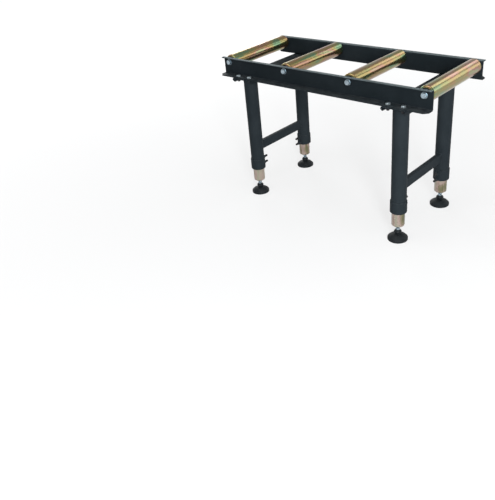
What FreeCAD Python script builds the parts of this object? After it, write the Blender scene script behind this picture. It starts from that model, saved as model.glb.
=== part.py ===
import FreeCAD, Part
import math
import os
import types

import Sketcher

# Outfeed roller table. Millimetres, +X along the table, +Y to the back, +Z up. The origin lies on
# the floor under the middle. Left is -X, right is +X, front is -Y and back is +Y.

doc = FreeCAD.newDocument("OutfeedTable")
sheet = doc.addObject("Spreadsheet::Sheet", "Sizes")


def formulaOf(value):
    return value.formula if isinstance(value, Size) else "%r" % value


def numberOf(value):
    return value.number if isinstance(value, Size) else value


class Size:
    # a length that carries both its number and the sheet formula that it comes from
    def __init__(self, number, formula):
        self.number = number
        self.formula = formula

    def __add__(self, other):
        return Size(self.number + numberOf(other), "(%s + %s)" % (self.formula, formulaOf(other)))

    def __sub__(self, other):
        return Size(self.number - numberOf(other), "(%s - %s)" % (self.formula, formulaOf(other)))

    def __mul__(self, other):
        return Size(self.number * numberOf(other), "(%s * %s)" % (self.formula, formulaOf(other)))

    def __truediv__(self, other):
        return Size(self.number / numberOf(other), "(%s / %s)" % (self.formula, formulaOf(other)))

    def __neg__(self):
        return Size(-self.number, "(0 - %s)" % self.formula)

    def __radd__(self, other):
        return self + other


# alias: (number, what it is)
driving = {
    "railLength": (1000, "side rail, end to end"),
    "railHeight": (75, "side rail, flange to lip"),
    "railSheet": (4, "side rail sheet"),
    "railBend": (3, "inner bend radius of the folded sheets"),
    "lipDepth": (20, "top lip, from the inner face of the web"),
    "flangeDepth": (42, "bottom flange, from the inner face of the web"),
    "flangeCorner": (15, "chamfer of the bottom flange's corners"),
    "railTop": (640, "top of the side rail over the floor"),
    "rollerLength": (360, "roller tube, end to end"),
    "rollerDiameter": (60, "roller tube"),
    "rollerWall": (3, "roller tube wall"),
    "rollerRound": (7, "outer radius of the roller tube's rolled-in ends"),
    "rollerSideGap": (4, "roller tube to the web of the rail"),
    "axleDrop": (22, "axle centre below the rail top"),
    "axleInset": (32, "first axle from the rail end"),
    "axleDiameter": (20, "roller axle"),
    "axleTapDepth": (30, "tapped hole in the axle end"),
    "bearingOuter": (42, "bearing, outer diameter"),
    "bearingWidth": (12, "bearing width"),
    "raceWall": (3.4, "wall of a bearing ring"),
    "shieldThick": (1, "bearing shield"),
    "housingLip": (1, "housing wall outside the bearing, behind the rolled-in end"),
    "housingTail": (3, "housing beyond the bearing's inner side"),
    "housingSink": (1, "housing face inside the tube's end"),
    "housingEye": (28, "hole in the housing face"),
    "channelWidth": (100, "cross channel"),
    "channelDepth": (20, "cross channel, height of its sides"),
    "channelSheet": (4, "cross channel sheet"),
    "channelPast": (2, "cross channel past the rail flange"),
    "channelCorner": (10, "chamfer of the channel's lower corners"),
    "legInset": (130, "leg centre from the rail end"),
    "legSetIn": (14, "leg centre inside the inner face of the web"),
    "legDiameter": (60, "outer leg tube"),
    "legWall": (4, "outer leg tube wall"),
    "collarWall": (3, "collar around the leg tube"),
    "collarHeight": (50, "collar"),
    "collarLip": (6, "collar's guide lip below the leg tube"),
    "collarRound": (4, "round of the collar's lower rim"),
    "collarChamfer": (1.5, "chamfer of the collar's upper rim"),
    "braceRise": (86, "underside of the brace over the collar's bottom"),
    "braceHeight": (40, "brace tube, upright side"),
    "braceWidth": (20, "brace tube, flat side"),
    "braceWall": (2, "brace tube wall"),
    "braceRound": (3, "brace tube, outer corner radius"),
    "innerWall": (3, "inner leg tube wall"),
    "innerLength": (400, "inner leg tube"),
    "innerShow": (60, "inner leg tube below the collar, at rest"),
    "plugShoulder": (4, "plug shoulder under the inner tube"),
    "plugStep": (1, "plug shoulder inside the tube's outer face"),
    "plugChamfer": (2.5, "chamfer of the plug shoulder"),
    "plugDepth": (16, "plug inside the inner tube"),
    "studDiameter": (16, "levelling stud"),
    "studLength": (125, "levelling stud above its ball centre"),
    "studShow": (22, "stud between the foot hub and the plug, at rest"),
    "flatDepth": (1.5, "depth of each spanner flat on the stud"),
    "flatsHeight": (9, "height of the spanner flats"),
    "ballPast": (1, "ball end beyond the stud, all round"),
    "ballHeight": (17, "ball centre over the floor"),
    "footDiameter": (80, "foot disc"),
    "footRim": (8, "rim of the foot disc"),
    "footDome": (50, "radius of the foot's domed top"),
    "footDomeTop": (25, "top of the dome"),
    "footRecessDepth": (3, "recess under the foot"),
    "footRingWidth": (7, "ring that stands on the floor"),
    "hubNeckPast": (3, "neck of the foot hub beyond the stud, all round"),
    "hubFlarePast": (7, "widest part of the foot hub beyond the stud, all round"),
    "hubRimPast": (2.5, "upper rim of the foot hub beyond the stud, all round"),
    "hubTop": (42, "top of the foot hub over the floor"),
    "hubFlareLow": (33, "lower edge of the hub's flare"),
    "hubFlareHigh": (36, "upper edge of the hub's flare"),
    "clampDiameter": (10, "clamp screw"),
    "clampSpacing": (28, "between the two clamp screws"),
    "clampPast": (30, "clamp screw end beyond the collar"),
    "clampPoint": (1.5, "chamfer at the clamp screw's ends"),
    "clampSocket": (5, "hexagon socket of the clamp screw, across flats"),
    "socketDepth": (4, "hexagon socket depth"),
    "bossFootWall": (3.5, "weld nut wall at the collar"),
    "bossTipWall": (1.25, "weld nut wall at its outer end"),
    "bossPast": (15, "weld nut beyond the collar"),
    "axleBolt": (12, "axle bolt"),
    "axleBoltFlats": (19, "axle bolt head, across flats"),
    "axleBoltHead": (7.5, "axle bolt head height"),
    "axleBoltGrip": (22, "axle bolt in the axle"),
    "axleWasher": (24, "axle washer"),
    "washerThick": (2.5, "axle washer thickness"),
    "legBolt": (10, "leg bolt"),
    "legBoltFlats": (17, "leg bolt head, across flats"),
    "legBoltHead": (6.4, "leg bolt head height"),
    "legBoltOut": (24, "leg bolt from the inner face of the web"),
    "legBoltEnd": (4, "leg bolt beyond its nut"),
    "nutFlats": (15, "leg nut, across flats"),
    "nutHeight": (10, "leg nut height"),
    "nutFlange": (21, "leg nut flange"),
    "nutFlangeThick": (2, "leg nut flange thickness"),
    "nutSideGap": (1.5, "leg nut flange to the bend of the cross channel"),
    "holeGap": (0.5, "radial clearance of a bolt in its hole"),
    "threadGap": (0.05, "radial clearance of a screw in its thread"),
    "seatGap": (0.05, "radial clearance of a welded or pressed seat"),
    "freeGap": (0.3, "clearance between parts that move past each other"),
    "slideGap": (0.5, "radial clearance of the inner leg tube"),
}
rollerCount = 4

d = types.SimpleNamespace()
for row, (alias, (number, note)) in enumerate(driving.items(), start=1):
    sheet.set("A%d" % row, note)
    sheet.set("B%d" % row, str(number))
    sheet.setAlias("B%d" % row, alias)
    setattr(d, alias, Size(number, "Sizes." + alias))
doc.recompute()

# heights over the floor
railBottom = d.railTop - d.railHeight
legTop = railBottom - d.channelSheet
axleHeight = d.railTop - d.axleDrop
innerBottom = d.hubTop + d.studShow
collarBottom = innerBottom + d.innerShow
legTubeBottom = collarBottom + d.collarLip
clampMiddle = collarBottom + d.collarHeight / 2

# distances from the middle of the table
webInner = d.rollerLength / 2 + d.rollerSideGap
webOuter = webInner + d.railSheet
legX = d.railLength / 2 - d.legInset
legY = webInner - d.legSetIn
legBoltY = webInner + d.legBoltOut
legBoltHalf = d.channelWidth / 2 - d.channelSheet - d.railBend - d.nutSideGap - d.nutFlange / 2
firstAxleX = d.railLength / 2 - d.axleInset
axlePitch = firstAxleX * 2 / (rollerCount - 1)

# radii
legRadius = d.legDiameter / 2
legBore = legRadius - d.legWall
innerRadius = legBore - d.slideGap
collarRadius = legRadius + d.collarWall
collarBore = legRadius + d.seatGap
rollerRadius = d.rollerDiameter / 2
rollerBore = rollerRadius - d.rollerWall
rollerMouth = rollerRadius - d.rollerRound
axleRadius = d.axleDiameter / 2
bearingRadius = d.bearingOuter / 2
plugRadius = innerRadius - d.innerWall - d.seatGap
studRadius = d.studDiameter / 2
ballRadius = studRadius + d.ballPast
threadBore = studRadius + d.threadGap
clampRadius = d.clampDiameter / 2
clampHole = clampRadius + d.freeGap
bossFoot = clampRadius + d.bossFootWall
bossTip = clampRadius + d.bossTipWall

# the bearing's outer side, from the roller tube's end
bearingFace = -(d.rollerRound + d.housingLip)

# hexagon heads: corner radius over flat radius, slope of the crown, share of the flat end face
hexCorner = 1 / math.cos(math.pi / 6)
headSlope = math.tan(math.pi / 6)
headFace = 0.95

# two places closer than this are the same place
touching = 0.01

upward = FreeCAD.Rotation()
downward = FreeCAD.Rotation(FreeCAD.Vector(1, 0, 0), 180)
halfTurn = FreeCAD.Rotation(FreeCAD.Vector(0, 0, 1), 180)
axisToFront = FreeCAD.Rotation(FreeCAD.Vector(1, 0, 0), 90)
axisToBack = FreeCAD.Rotation(FreeCAD.Vector(1, 0, 0), -90)

nodes = []
cuts = []


def newBody(label):
    return doc.addObject("PartDesign::Body", label)


def originPlane(body, role):
    return next(plane for plane in body.Origin.OriginFeatures if plane.Role == role)


def attach(feature, body, role, offset=None):
    feature.AttachmentSupport = [(originPlane(body, role), "")]
    feature.MapMode = "FlatFace"
    if offset is not None:
        feature.setExpression("AttachmentOffset.Base.z", formulaOf(offset))


def newSketch(body, role, offset=None):
    sketch = body.newObject("Sketcher::SketchObject", body.Name + "_sketch")
    attach(sketch, body, role, offset)
    return sketch


def bindConstraint(sketch, constraint, value):
    index = sketch.addConstraint(constraint)
    sketch.setExpression("Constraints[%d]" % index, formulaOf(value))


def holdPoint(sketch, edge, end, x, y):
    atX = Sketcher.Constraint("DistanceX", -1, 1, edge, end, float(numberOf(x)))
    atY = Sketcher.Constraint("DistanceY", -1, 1, edge, end, float(numberOf(y)))
    bindConstraint(sketch, atX, x)
    bindConstraint(sketch, atY, y)


def arcEdge(start, end, radius):
    # a positive radius turns left from start to end, a negative one right
    chord = end - start
    side = FreeCAD.Vector(-chord.y, chord.x, 0).normalize()
    reach = math.sqrt(radius * radius - chord.Length * chord.Length / 4)
    centre = (start + end) / 2 + side * math.copysign(reach, radius)
    first, last = (start, end) if radius > 0 else (end, start)
    fromAngle = math.atan2(first.y - centre.y, first.x - centre.x)
    toAngle = math.atan2(last.y - centre.y, last.x - centre.x)
    if toAngle < fromAngle:
        toAngle += 2 * math.pi
    circle = Part.Circle(centre, FreeCAD.Vector(0, 0, 1), abs(radius))
    return Part.ArcOfCircle(circle, fromAngle, toAngle)


def outline(sketch, corners):
    # a closed line through corners (x, y); a third number makes the edge that arrives there an arc
    points = [FreeCAD.Vector(numberOf(corner[0]), numberOf(corner[1]), 0) for corner in corners]
    edges = []
    for index, corner in enumerate(corners):
        if len(corner) == 3:
            radius = numberOf(corner[2])
            edge = sketch.addGeometry(arcEdge(points[index - 1], points[index], radius), False)
            start, end = (1, 2) if radius > 0 else (2, 1)
            size = corner[2] if radius > 0 else -corner[2]
            bindConstraint(sketch, Sketcher.Constraint("Radius", edge, abs(radius)), size)
        else:
            edge = sketch.addGeometry(Part.LineSegment(points[index - 1], points[index]), False)
            start, end = 1, 2
        edges.append((edge, start, end))
    for index, (edge, _, end) in enumerate(edges):
        following, start, _ = edges[(index + 1) % len(edges)]
        sketch.addConstraint(Sketcher.Constraint("Coincident", edge, end, following, start))
        holdPoint(sketch, edge, end, corners[index][0], corners[index][1])


def circle(sketch, x, y, radius):
    centre = FreeCAD.Vector(numberOf(x), numberOf(y), 0)
    hoop = Part.Circle(centre, FreeCAD.Vector(0, 0, 1), numberOf(radius))
    edge = sketch.addGeometry(hoop, False)
    bindConstraint(sketch, Sketcher.Constraint("Radius", edge, float(numberOf(radius))), radius)
    holdPoint(sketch, edge, 3, x, y)


def pad(body, sketch, length, side="One side", turned=False):
    feature = body.newObject("PartDesign::Pad", body.Name + "_pad")
    feature.Profile = sketch
    feature.SideType = side
    feature.Reversed = turned
    feature.setExpression("Length", formulaOf(length))
    return feature


def pocket(body, sketch, length=None, side="One side", turned=False):
    # without a length the pocket goes through all
    feature = body.newObject("PartDesign::Pocket", body.Name + "_pocket")
    feature.Profile = sketch
    feature.SideType = side
    feature.Reversed = turned
    if length is None:
        feature.Type = "ThroughAll"
    else:
        feature.setExpression("Length", formulaOf(length))
    cuts.append(feature)
    return feature


def turn(body, sketch, axis, kind="Revolution"):
    feature = body.newObject("PartDesign::" + kind, body.Name + "_turn")
    feature.Profile = sketch
    feature.ReferenceAxis = (sketch, [axis])
    feature.Angle = 360
    if kind == "Groove":
        cuts.append(feature)
    return feature


def turned(label, corners):
    # a piece turned about its own Z axis from an outline of (radius, height) corners
    body = newBody(label)
    sketch = newSketch(body, "XZ_Plane")
    outline(sketch, corners)
    turn(body, sketch, "V_Axis")
    return body


def hexagon(body, kind, acrossFlats, height, offset):
    feature = body.newObject("PartDesign::" + kind, body.Name + "_hexagon")
    attach(feature, body, "XY_Plane", offset)
    feature.Polygon = 6
    feature.setExpression("Circumradius", formulaOf(acrossFlats / 2 * hexCorner))
    feature.setExpression("Height", formulaOf(height))
    return feature


def chamferEdges(body, feature, isWanted, size):
    doc.recompute()
    names = []
    for index, edge in enumerate(feature.Shape.Edges, start=1):
        if isWanted(edge):
            names.append("Edge%d" % index)
    chamfer = body.newObject("PartDesign::Chamfer", body.Name + "_chamfer")
    chamfer.Base = (feature, names)
    chamfer.setExpression("Size", formulaOf(size))
    cuts.append(chamfer)
    return chamfer


def place(piece, x, y, z, rotation=upward):
    piece.Placement = FreeCAD.Placement(FreeCAD.Vector(0, 0, 0), rotation)
    for axis, value in zip("xyz", (x, y, z)):
        piece.setExpression("Placement.Base." + axis, formulaOf(value))


def node(piece, x, y, z, rotation=upward):
    place(piece, x, y, z, rotation)
    nodes.append(piece)


def groupNode(label, piece, places):
    # copies of one piece as separate solids of one node; a place is (x, y, z, rotation)
    copies = []
    for x, y, z, rotation in places:
        copy = doc.addObject("App::Link", label + "_copy")
        copy.setLink(piece)
        place(copy, x, y, z, rotation)
        copies.append(copy)
    group = doc.addObject("Part::Compound", label)
    group.Links = copies
    nodes.append(group)


def axlePlaces():
    return [firstAxleX - axlePitch * step for step in reversed(range(rollerCount))]


def legBoltPlaces():
    return [-legX - legBoltHalf, -legX + legBoltHalf, legX - legBoltHalf, legX + legBoltHalf]


def sideRail(label):
    # C-section with both flanges turned outward, to -Y; z = 0 is the underside
    body = newBody(label)
    top = d.railHeight
    wall = d.railSheet
    bend = d.railBend
    outer = bend + wall
    section = newSketch(body, "YZ_Plane", -d.railLength / 2)
    outline(section, [
        (0, outer, outer),
        (0, top - outer),
        (-outer, top, outer),
        (-d.lipDepth, top),
        (-d.lipDepth, top - wall),
        (-outer, top - wall),
        (-wall, top - outer, -bend),
        (-wall, outer),
        (-outer, wall, -bend),
        (-d.flangeDepth, wall),
        (-d.flangeDepth, 0),
        (-outer, 0),
    ])
    folded = pad(body, section, d.railLength)

    def isFlangeCorner(edge):
        centre = edge.CenterOfMass
        upright = abs(edge.BoundBox.ZLength - wall.number) < touching
        return upright and abs(centre.y + d.flangeDepth.number) < touching

    chamferEdges(body, folded, isFlangeCorner, d.flangeCorner)

    axleHoles = newSketch(body, "XZ_Plane")
    for x in axlePlaces():
        circle(axleHoles, x, top - d.axleDrop, d.axleBolt / 2 + d.holeGap)
    pocket(body, axleHoles, turned=True)

    legHoles = newSketch(body, "XY_Plane")
    for x in legBoltPlaces():
        circle(legHoles, x, -d.legBoltOut, d.legBolt / 2 + d.holeGap)
    pocket(body, legHoles, wall + bend, turned=True)
    return body


def crossChannel(label):
    # U-section along Y, open downward; z = 0 is the upper face, under the rails
    body = newBody(label)
    half = d.channelWidth / 2
    wall = d.channelSheet
    bend = d.railBend
    outer = bend + wall
    length = (webInner + d.flangeDepth + d.channelPast) * 2
    section = newSketch(body, "XZ_Plane")
    outline(section, [
        (half, -d.channelDepth),
        (half, -outer),
        (half - outer, 0, outer),
        (-half + outer, 0),
        (-half, -outer, outer),
        (-half, -d.channelDepth),
        (-half + wall, -d.channelDepth),
        (-half + wall, -outer),
        (-half + outer, -wall, -bend),
        (half - outer, -wall),
        (half - wall, -outer, -bend),
        (half - wall, -d.channelDepth),
    ])
    folded = pad(body, section, length, side="Symmetric")

    def isLowerCorner(edge):
        centre = edge.CenterOfMass
        across = abs(edge.BoundBox.XLength - wall.number) < touching
        atEnd = abs(abs(centre.y) - length.number / 2) < touching
        return across and atEnd and abs(centre.z + d.channelDepth.number) < touching

    chamferEdges(body, folded, isLowerCorner, d.channelCorner)

    boltHoles = newSketch(body, "XY_Plane")
    for x in (-legBoltHalf, legBoltHalf):
        for y in (-legBoltY, legBoltY):
            circle(boltHoles, x, y, d.legBolt / 2 + d.holeGap)
    pocket(body, boltHoles)
    return body


def clampHoles(body, middle):
    # two holes through the wall that faces +Y
    holes = newSketch(body, "XZ_Plane")
    for z in (middle - d.clampSpacing / 2, middle + d.clampSpacing / 2):
        circle(holes, 0, z, clampHole)
    pocket(body, holes)


def legTube(label):
    # z = 0 is the lower end, inside the collar
    body = newBody(label)
    ring = newSketch(body, "XY_Plane")
    circle(ring, 0, 0, legRadius)
    circle(ring, 0, 0, legBore)
    pad(body, ring, legTop - legTubeBottom)
    clampHoles(body, clampMiddle - legTubeBottom)
    return body


def collar(label):
    # sleeve welded around the leg tube's end, with a lip that guides the inner tube
    chamfer = d.collarChamfer
    body = turned(label, [
        (legBore, 0),
        (collarRadius - d.collarRound, 0),
        (collarRadius, d.collarRound, d.collarRound),
        (collarRadius, d.collarHeight - chamfer),
        (collarRadius - chamfer, d.collarHeight),
        (collarBore, d.collarHeight),
        (collarBore, d.collarLip),
        (legBore, d.collarLip),
    ])
    clampHoles(body, d.collarHeight / 2)
    return body


def brace(label):
    # rectangular tube along Y, its ends coped to the two leg tubes; z = 0 is the underside
    body = newBody(label)
    side = d.braceWidth / 2
    wall = d.braceWall
    outerRound = d.braceRound
    innerRound = outerRound - wall
    section = newSketch(body, "XZ_Plane")
    roundedBox(section, side, 0, d.braceHeight, outerRound)
    roundedBox(section, side - wall, wall, d.braceHeight - wall, innerRound)
    pad(body, section, legY * 2, side="Symmetric")
    copes = newSketch(body, "XY_Plane")
    for y in (-legY, legY):
        circle(copes, 0, y, legRadius + d.seatGap)
    pocket(body, copes, turned=True)
    return body


def roundedBox(sketch, side, low, high, radius):
    outline(sketch, [
        (side - radius, low),
        (side, low + radius, radius),
        (side, high - radius),
        (side - radius, high, radius),
        (-side + radius, high),
        (-side, high - radius, radius),
        (-side, low + radius),
        (-side + radius, low, radius),
    ])


def weldNut():
    # tapered boss along +Z with its foot coped to a collar whose axis is the local Y axis
    start = collarRadius - d.collarWall
    end = collarRadius + d.bossPast
    bore = clampRadius + d.threadGap
    body = turned("clamp_weld_nut", [
        (bore, start),
        (bossFoot, start),
        (bossFoot, collarRadius),
        (bossTip, end),
        (bore, end),
    ])
    cope = newSketch(body, "XZ_Plane")
    circle(cope, 0, 0, collarRadius + d.seatGap)
    pocket(body, cope, side="Symmetric")
    return body


def clampScrew(label):
    # socket screw along +Z from the inner tube, through the collar and the weld nut
    point = d.clampPoint
    start = innerRadius + d.freeGap
    end = collarRadius + d.clampPast
    body = turned(label, [
        (0, start),
        (clampRadius - point, start),
        (clampRadius, start + point),
        (clampRadius, end - point),
        (clampRadius - point, end),
        (0, end),
    ])
    cuts.append(hexagon(body, "SubtractivePrism", d.clampSocket, d.socketDepth, end - d.socketDepth))
    return body


def innerTube(label):
    # z = 0 is the lower end of the plug's shoulder, which the tube stands on
    body = newBody(label)
    ring = newSketch(body, "XY_Plane", d.plugShoulder)
    circle(ring, 0, 0, innerRadius)
    circle(ring, 0, 0, innerRadius - d.innerWall)
    pad(body, ring, d.innerLength)
    return body


def tubePlug(label):
    # shouldered plug in the inner tube's end, tapped through for the stud
    shoulder = innerRadius - d.plugStep
    top = d.plugShoulder + d.plugDepth
    return turned(label, [
        (threadBore, 0),
        (shoulder - d.plugChamfer, 0),
        (shoulder, d.plugChamfer),
        (shoulder, d.plugShoulder),
        (plugRadius, d.plugShoulder),
        (plugRadius, top - d.plugStep),
        (plugRadius - d.plugStep, top),
        (threadBore, top),
    ])


def ballJoin(ball, neck):
    # height over the ball's centre at which the ball meets a neck, both given as radii
    height = math.sqrt(ball.number ** 2 - neck.number ** 2)
    return Size(height, "sqrt(%s ^ 2 - %s ^ 2)" % (ball.formula, neck.formula))


def footStud(label):
    # z = 0 is the floor; a ball end, a round stud and two spanner flats
    neck = d.ballHeight + ballJoin(ballRadius, studRadius)
    top = d.ballHeight + d.studLength
    body = turned(label, [
        (0, d.ballHeight - ballRadius),
        (studRadius, neck, ballRadius),
        (studRadius, top - d.clampPoint),
        (studRadius - d.clampPoint, top),
        (0, top),
    ])
    flats = newSketch(body, "XY_Plane", d.hubTop + d.studShow / 2 - d.flatsHeight / 2)
    flat = studRadius - d.flatDepth
    past = d.studDiameter
    outline(flats, [(flat, -past), (past, -past), (past, past), (flat, past)])
    outline(flats, [(-past, -past), (-flat, -past), (-flat, past), (-past, past)])
    pocket(body, flats, d.flatsHeight, turned=True)
    return body


def footBase(label):
    # domed disc with a ball socket in a flared hub; z = 0 stands on the floor
    disc = d.footDiameter / 2
    socket = ballRadius + d.freeGap
    mouth = studRadius + d.freeGap
    flare = studRadius + d.hubFlarePast
    ring = disc - d.footRingWidth
    return turned(label, [
        (ring, 0),
        (disc, 0),
        (disc, d.footRim),
        (studRadius + d.hubNeckPast, d.footDomeTop, d.footDome),
        (flare, d.hubFlareLow),
        (flare, d.hubFlareHigh),
        (studRadius + d.hubRimPast, d.hubTop),
        (mouth, d.hubTop),
        (mouth, d.ballHeight + ballJoin(socket, mouth)),
        (0, d.ballHeight - socket, -socket),
        (0, d.footRecessDepth),
        (ring, d.footRecessDepth),
    ])


def alongY(label, corners):
    # a piece turned about the Y axis from an outline of (along Y, radius) corners
    body = newBody(label)
    sketch = newSketch(body, "YZ_Plane")
    outline(sketch, corners)
    turn(body, sketch, "H_Axis")
    return body


def rollerTube(label):
    # both ends are rolled in over the end housings
    half = d.rollerLength / 2
    bend = d.rollerRound
    innerBend = bend - d.rollerWall
    return alongY(label, [
        (-half + d.rollerWall, rollerMouth),
        (-half + bend, rollerBore, -innerBend),
        (half - bend, rollerBore),
        (half - d.rollerWall, rollerMouth, -innerBend),
        (half, rollerMouth),
        (half - bend, rollerRadius, bend),
        (-half + bend, rollerRadius),
        (-half, rollerMouth, bend),
    ])


def endHousing():
    # carries one bearing; y = 0 is the roller tube's end, +Y points out of the tube
    face = -d.housingSink
    tail = bearingFace - d.bearingWidth - d.housingTail
    nose = rollerMouth - d.seatGap
    return alongY("roller_end_housing", [
        (tail, bearingRadius + d.seatGap),
        (bearingFace, bearingRadius + d.seatGap),
        (bearingFace, d.housingEye / 2),
        (face, d.housingEye / 2),
        (face, nose),
        (-d.rollerWall, nose),
        (-d.rollerRound, rollerBore - d.seatGap),
        (tail, rollerBore - d.seatGap),
    ])


def bearing():
    # outer ring with two shields, placed like the housing
    outer = bearingFace
    inner = outer - d.bearingWidth
    shieldEye = axleRadius + d.seatGap + d.raceWall + d.freeGap
    race = bearingRadius - d.raceWall
    return alongY("roller_bearing", [
        (inner, shieldEye),
        (inner + d.shieldThick, shieldEye),
        (inner + d.shieldThick, race),
        (outer - d.shieldThick, race),
        (outer - d.shieldThick, shieldEye),
        (outer, shieldEye),
        (outer, bearingRadius),
        (inner, bearingRadius),
    ])


def bearingInnerRing():
    inner = bearingFace - d.bearingWidth
    bore = axleRadius + d.seatGap
    return alongY("bearing_inner_ring", [
        (inner, bore),
        (bearingFace, bore),
        (bearingFace, bore + d.raceWall),
        (inner, bore + d.raceWall),
    ])


def rollerAxle(label):
    # spans the two webs, tapped at both ends
    half = webInner
    tap = d.axleBolt / 2 + d.threadGap
    return alongY(label, [
        (-half, tap),
        (-half + d.axleTapDepth, tap),
        (-half + d.axleTapDepth, 0),
        (half - d.axleTapDepth, 0),
        (half - d.axleTapDepth, tap),
        (half, tap),
        (half, axleRadius),
        (-half, axleRadius),
    ])


def hexBolt(label, diameter, acrossFlats, headHeight, reach):
    # the head stands on z = 0 and the shank hangs below it
    body = newBody(label)
    hexagon(body, "AdditivePrism", acrossFlats, headHeight, 0)
    shank = newSketch(body, "XY_Plane")
    circle(shank, 0, 0, diameter / 2)
    pad(body, shank, reach, turned=True)
    faceRadius = acrossFlats / 2 * headFace
    past = acrossFlats
    crown = newSketch(body, "XZ_Plane")
    outline(crown, [
        (faceRadius, headHeight),
        (past, headHeight - (past - faceRadius) * headSlope),
        (past, headHeight + past),
        (faceRadius, headHeight + past),
    ])
    turn(body, crown, "V_Axis", "Groove")
    return body


def axleWasher():
    hole = d.axleBolt / 2 + d.holeGap
    return turned("axle_washer", [
        (hole, 0),
        (d.axleWasher / 2, 0),
        (d.axleWasher / 2, d.washerThick),
        (hole, d.washerThick),
    ])


def flangeNut():
    # the flange stands on z = 0
    body = newBody("leg_nut")
    hexagon(body, "AdditivePrism", d.nutFlats, d.nutHeight, 0)
    flange = newSketch(body, "XY_Plane")
    circle(flange, 0, 0, d.nutFlange / 2)
    pad(body, flange, d.nutFlangeThick)
    bore = newSketch(body, "XY_Plane")
    circle(bore, 0, 0, d.legBolt / 2 + d.threadGap)
    pocket(body, bore, turned=True)
    return body


# frame: rails, channels, legs and braces
node(sideRail("front_side_rail"), 0, -webInner, railBottom)
node(sideRail("back_side_rail"), 0, webInner, railBottom, halfTurn)

for side, x in (("left", -legX), ("right", legX)):
    node(crossChannel(side + "_cross_channel"), x, 0, railBottom)
    node(brace(side + "_brace"), x, 0, collarBottom + d.braceRise)

# the clamp screws of each leg face the leg across the table
corners = []
for sideX, x in (("left", -legX), ("right", legX)):
    corners.append(("front_" + sideX, x, -legY, upward, axisToBack))
    corners.append(("back_" + sideX, x, legY, halfTurn, axisToFront))
clampHeights = (("lower", clampMiddle - d.clampSpacing / 2), ("upper", clampMiddle + d.clampSpacing / 2))

weldNutPlaces = []
for name, x, y, facing, inward in corners:
    node(legTube(name + "_leg_tube"), x, y, legTubeBottom, facing)
    node(collar(name + "_collar"), x, y, collarBottom, facing)
    node(innerTube(name + "_inner_tube"), x, y, innerBottom)
    node(tubePlug(name + "_tube_plug"), x, y, innerBottom)
    node(footStud(name + "_foot_stud"), x, y, 0)
    node(footBase(name + "_foot_base"), x, y, 0)
    for level, z in clampHeights:
        node(clampScrew(name + "_" + level + "_clamp_screw"), x, y, z, inward)
        weldNutPlaces.append((x, y, z, inward))
groupNode("clamp_weld_nuts", weldNut(), weldNutPlaces)

# the bolts that hold the rails on the channels
flangeTop = railBottom + d.railSheet
legGrip = d.railSheet + d.channelSheet + d.nutHeight + d.legBoltEnd
legBolts = [(x, y, flangeTop, upward) for x in legBoltPlaces() for y in (-legBoltY, legBoltY)]
legNuts = [(x, y, legTop, downward) for x, y, _, _ in legBolts]
groupNode("leg_bolts", hexBolt("leg_bolt", d.legBolt, d.legBoltFlats, d.legBoltHead, legGrip), legBolts)
groupNode("leg_nuts", flangeNut(), legNuts)

# rollers, from left to right, each on a fixed axle
endPlaces = []
washerPlaces = []
boltPlaces = []
for number, x in enumerate(axlePlaces(), start=1):
    name = "roller_%d" % number
    node(rollerTube(name + "_tube"), x, 0, axleHeight)
    node(rollerAxle(name + "_axle"), x, 0, axleHeight)
    ends = [(x, d.rollerLength / 2, axleHeight, upward), (x, -d.rollerLength / 2, axleHeight, halfTurn)]
    groupNode(name + "_end_housings", endHousing(), ends)
    groupNode(name + "_bearings", bearing(), ends)
    endPlaces += ends
    for y, outward, seat in ((-webOuter, axisToFront, -webOuter - d.washerThick),
                             (webOuter, axisToBack, webOuter + d.washerThick)):
        washerPlaces.append((x, y, axleHeight, outward))
        boltPlaces.append((x, seat, axleHeight, outward))
axleGrip = d.washerThick + d.railSheet + d.axleBoltGrip
axleBolt = hexBolt("axle_bolt", d.axleBolt, d.axleBoltFlats, d.axleBoltHead, axleGrip)
groupNode("bearing_inner_rings", bearingInnerRing(), endPlaces)
groupNode("axle_washers", axleWasher(), washerPlaces)
groupNode("axle_bolts", axleBolt, boltPlaces)

doc.recompute()

for item in doc.Objects:
    if "Invalid" in item.State or "Error" in item.State:
        raise RuntimeError("%s did not build: %s" % (item.Label, item.State))
for cut in cuts:
    if cut.Shape.Volume >= cut.BaseFeature.Shape.Volume:
        raise RuntimeError("%s removes nothing" % cut.Label)
for piece in nodes:
    if piece.Shape.isNull() or not piece.Shape.isValid():
        raise RuntimeError("%s has no valid shape" % piece.Label)

os.makedirs("parts", exist_ok=True)
for piece in nodes:
    piece.Shape.exportStep("parts/%s.step" % piece.Label)
print("%d nodes, %d solids" % (len(nodes), sum(len(piece.Shape.Solids) for piece in nodes)))
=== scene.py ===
import math

import bmesh
import bpy
from mathutils import Matrix, Vector


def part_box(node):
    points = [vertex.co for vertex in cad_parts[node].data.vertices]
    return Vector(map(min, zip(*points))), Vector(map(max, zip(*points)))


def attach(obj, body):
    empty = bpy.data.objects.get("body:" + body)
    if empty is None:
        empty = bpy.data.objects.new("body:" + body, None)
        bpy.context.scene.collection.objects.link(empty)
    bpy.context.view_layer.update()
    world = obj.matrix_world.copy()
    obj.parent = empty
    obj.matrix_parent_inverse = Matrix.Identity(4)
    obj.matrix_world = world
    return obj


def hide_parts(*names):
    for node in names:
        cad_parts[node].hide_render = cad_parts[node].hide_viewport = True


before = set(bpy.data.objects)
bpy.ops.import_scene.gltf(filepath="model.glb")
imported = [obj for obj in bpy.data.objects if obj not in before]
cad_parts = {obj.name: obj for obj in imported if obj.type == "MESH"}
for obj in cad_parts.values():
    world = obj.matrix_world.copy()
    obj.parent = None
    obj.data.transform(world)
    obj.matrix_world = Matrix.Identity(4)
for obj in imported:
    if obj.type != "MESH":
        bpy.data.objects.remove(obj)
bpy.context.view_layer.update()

print("frame loaded:", len(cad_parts), "nodes")

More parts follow.
